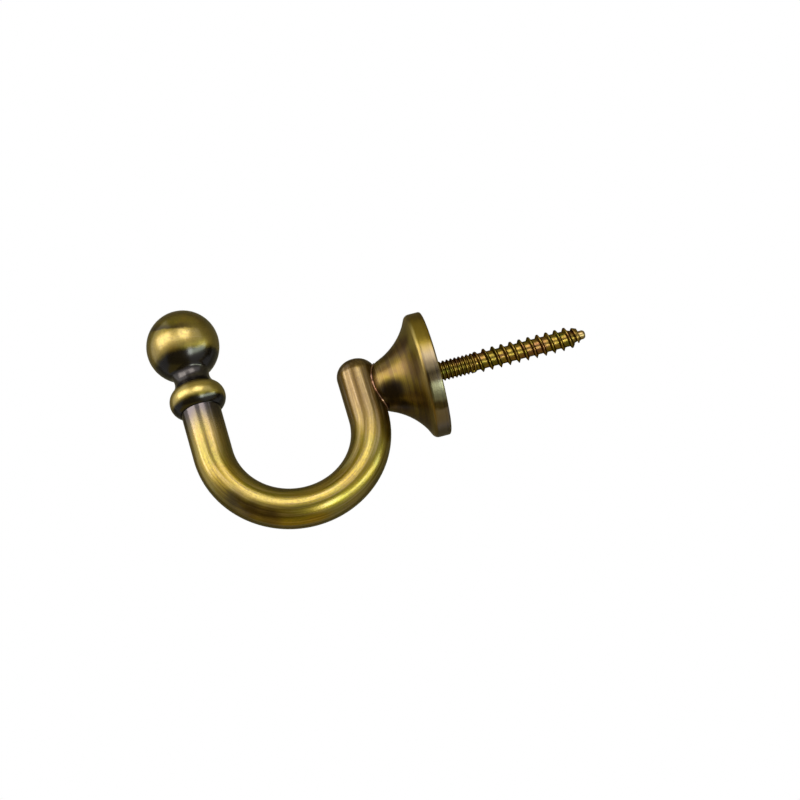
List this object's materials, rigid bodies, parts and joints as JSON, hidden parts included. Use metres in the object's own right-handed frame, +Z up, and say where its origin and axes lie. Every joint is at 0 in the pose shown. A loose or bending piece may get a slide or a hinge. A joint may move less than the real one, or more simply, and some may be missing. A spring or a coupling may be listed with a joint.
{
  "type": "curtain holdback",
  "caption": "U-shaped curtain tieback hook of round bar with a ball finial, standing off a trumpet-shaped wall rose with a double-ended wall screw.",
  "frame": {"origin": "centre of the rose's back face, where the screw's axis crosses the wall's surface", "axes": "+X into the wall along the screw, +Z up, the hook in the plane Y = 0 on the side of -X"},
  "size_m": [0.0989, 0.0292, 0.0605],
  "materials": {
    "antique_brass_bar": "satin",
    "antique_brass_finial": "satin",
    "antique_brass_rose": "satin, turned",
    "braze_seam": "satin",
    "yellow_passivated_steel": "yellow passivated zinc"
  },
  "bodies": {
    "root": {"hook_arm": "antique_brass_bar", "ball_finial": "antique_brass_finial", "wall_rose": "antique_brass_rose", "weld_bead": "braze_seam", "hanger_screw": "yellow_passivated_steel"}
  },
  "joints": []
}
